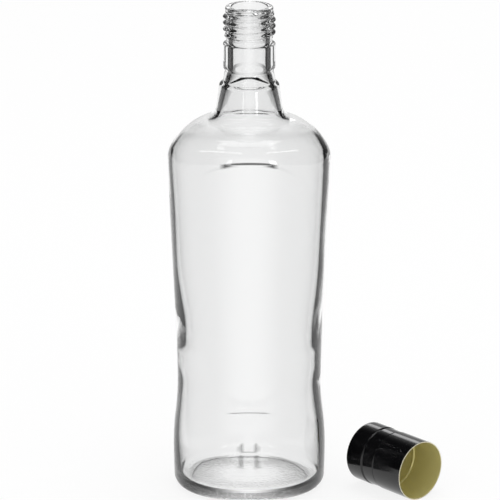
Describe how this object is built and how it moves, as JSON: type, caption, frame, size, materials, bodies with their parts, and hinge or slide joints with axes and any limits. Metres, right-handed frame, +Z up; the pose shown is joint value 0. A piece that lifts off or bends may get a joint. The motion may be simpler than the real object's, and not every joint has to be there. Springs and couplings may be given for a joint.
{
  "type": "screw-top bottle",
  "caption": "Empty clear glass bottle with waisted body, domed shoulder and threaded neck, its long black metal cap lying beside it.",
  "frame": {"origin": "on the ground, under the middle of the space that the bottle and its cap cover together", "axes": "+Z up along the bottle, +X to the right from the bottle towards its cap, +Y away from the viewer"},
  "size_m": [0.1498, 0.0756, 0.2705],
  "materials": {
    "clear_glass": "clear moulded glass, slightly wavy",
    "black_lacquer": "gloss black lacquer outside, gold lacquer inside",
    "liner_foam": "matt foam"
  },
  "bodies": {
    "root": {"bottle": "clear_glass", "cap_shell": "black_lacquer", "cap_liner": "liner_foam"}
  },
  "joints": []
}
